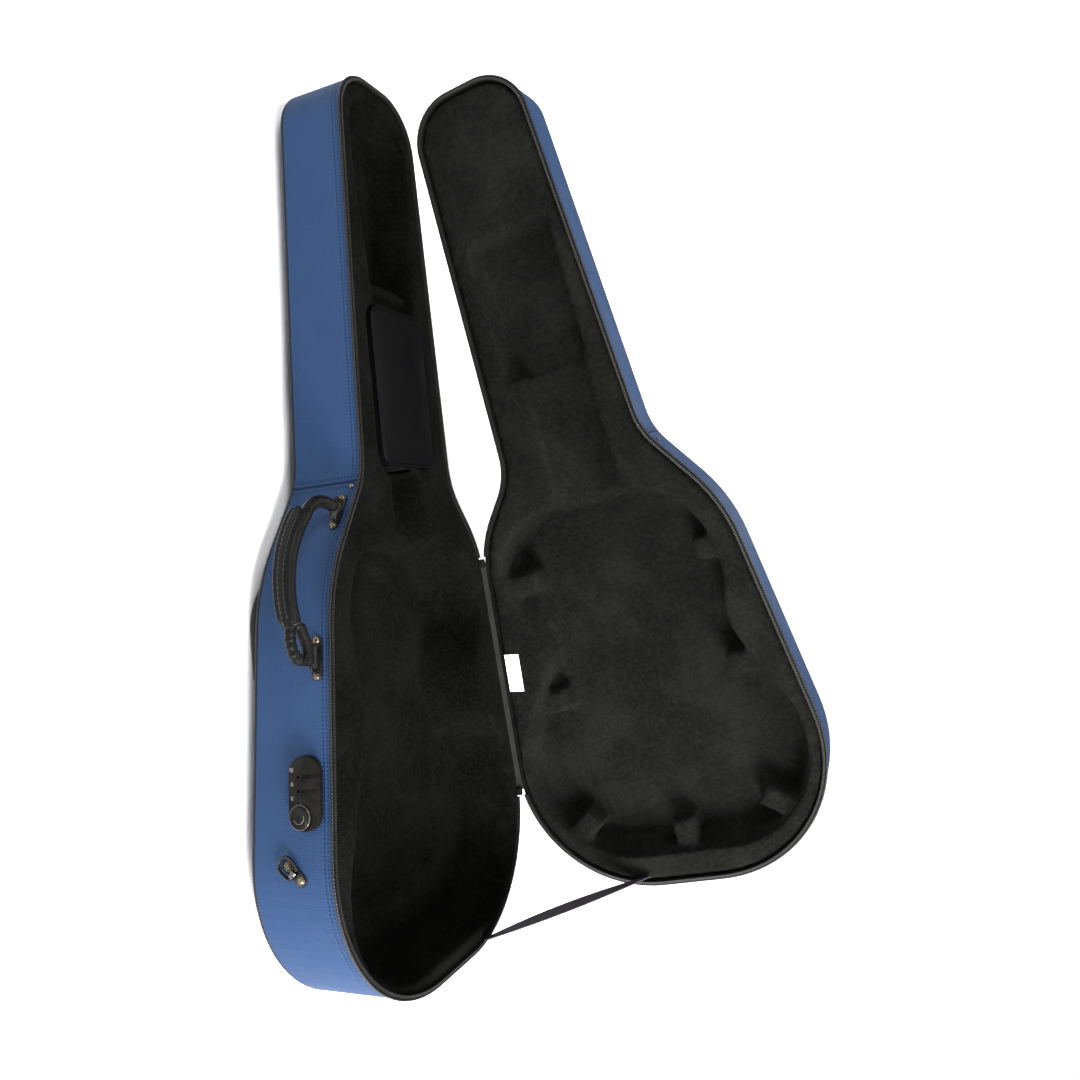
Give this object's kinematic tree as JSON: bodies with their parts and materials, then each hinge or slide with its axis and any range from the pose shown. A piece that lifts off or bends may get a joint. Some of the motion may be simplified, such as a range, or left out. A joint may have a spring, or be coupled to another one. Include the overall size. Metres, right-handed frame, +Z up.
{
  "type": "guitar case",
  "caption": "Open hard-shell guitar case with blue cloth walls, a zipped and cloth-hinged lid, plush foam lining, a leather handle, a combination lock and an accessory box.",
  "frame": {"origin": "on the centreline at floor level, on the underside of the yoke pad", "axes": "+Y from the tail towards the head, +X towards the hinge side, +Z up; the back lies level on the carrying straps"},
  "size_m": [0.5216, 1.1096, 0.5503],
  "materials": {
    "blue_cloth": "coarse woven nylon, coated",
    "hard_shell": "plain moulded shell",
    "piping": "smooth extruded cord cover",
    "zip_tape": "ribbed coil and tape",
    "webbing": "woven webbing",
    "base_lining": "black plush over foam",
    "lid_lining": "black plush over foam",
    "tray": "lined moulding",
    "smooth_leather": "smooth, satin",
    "handle_leather": "fine grained, satin",
    "strap_padding": "woven cover over padding",
    "black_metal": "black, half gloss",
    "gloss_black_metal": "black, glossy",
    "bright_metal": "polished",
    "brass_screws": "dulled",
    "lock_plastic": "matt, finely textured",
    "dial_plastic": "moulded",
    "label": "plain, bare"
  },
  "bodies": {
    "base": {"base_shell": "hard_shell", "base_side_cloth": "blue_cloth", "back_panel": "blue_cloth", "back_piping": "piping", "base_rim_piping": "piping", "base_zip": "zip_tape", "hinge_tape_base": "webbing", "base_foam": "base_lining", "neck_cradle": "base_lining", "accessory_box": "tray", "flap_hinge_strip": "smooth_leather", "yoke_pad": "strap_padding", "carrying_strap_handle_side": "strap_padding", "carrying_strap_hinge_side": "strap_padding", "handle_bracket_upper": "black_metal", "handle_bracket_lower": "black_metal", "bracket_screws": "brass_screws", "ring_rivets": "brass_screws", "seam_stud": "brass_screws", "lock_body": "lock_plastic", "ring_plates": "black_metal", "ring_clips": "bright_metal", "slider_upper": "black_metal", "slider_lower": "black_metal", "stay_strap": "webbing"},
    "lid": {"lid_shell": "hard_shell", "lid_side_cloth": "blue_cloth", "lid_stud": "brass_screws", "lid_panel": "blue_cloth", "lid_piping": "piping", "lid_rim_piping": "piping", "lid_zip": "zip_tape", "hinge_tape_lid": "webbing", "lid_foam": "lid_lining", "foam_blocks": "lid_lining", "label_patch": "label"},
    "handle": {"handle_grip": "handle_leather", "handle_loops": "handle_leather"},
    "box_flap": {"box_flap": "smooth_leather"},
    "dial_1": {"lock_dial_1": "dial_plastic"},
    "dial_2": {"lock_dial_2": "dial_plastic"},
    "dial_3": {"lock_dial_3": "dial_plastic"},
    "button": {"lock_button": "lock_plastic"},
    "ring_handle_side": {"strap_ring_handle_side": "gloss_black_metal"},
    "ring_hinge_side": {"strap_ring_hinge_side": "gloss_black_metal"},
    "puller_upper": {"puller_upper": "black_metal"},
    "puller_lower": {"puller_lower": "black_metal"}
  },
  "joints": [
    {"name": "lid_hinge", "type": "hinge", "parent": "base", "child": "lid", "pos_m": [0.20763, -0.4097, 0.12623], "axis": [-0.1484, 0.9887, -0.0227], "range_deg": [-91.3, 0], "deforming": ["stay_strap"]},
    {"name": "handle_swing", "type": "hinge", "parent": "base", "child": "handle", "pos_m": [-0.16896, -0.12552, 0.1011], "axis": [0.3601, 0.9327, -0.0214], "range_deg": [-54, 78]},
    {"name": "flap_hinge", "type": "hinge", "parent": "base", "child": "box_flap", "pos_m": [0.057, 0.09832, 0.11176], "axis": [0, 0.9997, -0.023], "range_deg": [0, 105]},
    {"name": "dial_turn_1", "type": "hinge", "parent": "base", "child": "dial_1", "pos_m": [-0.20829, -0.31715, 0.08029], "axis": [-0.1252, -0.9919, 0.0228], "continuous": true},
    {"name": "dial_turn_2", "type": "hinge", "parent": "base", "child": "dial_2", "pos_m": [-0.21004, -0.33104, 0.08061], "axis": [-0.1252, -0.9919, 0.0228], "continuous": true},
    {"name": "dial_turn_3", "type": "hinge", "parent": "base", "child": "dial_3", "pos_m": [-0.21179, -0.34492, 0.08093], "axis": [-0.1252, -0.9919, 0.0228], "continuous": true},
    {"name": "button_press", "type": "slide", "parent": "base", "child": "button", "axis": [-0.9921, 0.1251, -0.0029], "range_m": [-0.002, 0], "stiffness_N_per_m": 300},
    {"name": "ring_turn_handle_side", "type": "hinge", "parent": "base", "child": "ring_handle_side", "pos_m": [-0.21843, -0.42114, 0.07658], "axis": [0.0398, 0.7752, 0.6305], "range_deg": [0, 150]},
    {"name": "ring_turn_hinge_side", "type": "hinge", "parent": "base", "child": "ring_hinge_side", "pos_m": [0.21271, -0.42085, 0.07657], "axis": [0.1029, -0.7692, -0.6306], "range_deg": [0, 150]},
    {"name": "puller_turn_upper", "type": "hinge", "parent": "base", "child": "puller_upper", "pos_m": [0.16759, -0.12077, 0.11719], "axis": [0.2808, -0.9595, 0.022], "range_deg": [0, 70]},
    {"name": "puller_turn_lower", "type": "hinge", "parent": "base", "child": "puller_lower", "pos_m": [0.21544, -0.44716, 0.12469], "axis": [-0.0273, -0.9994, 0.0229], "range_deg": [0, 70]}
  ]
}
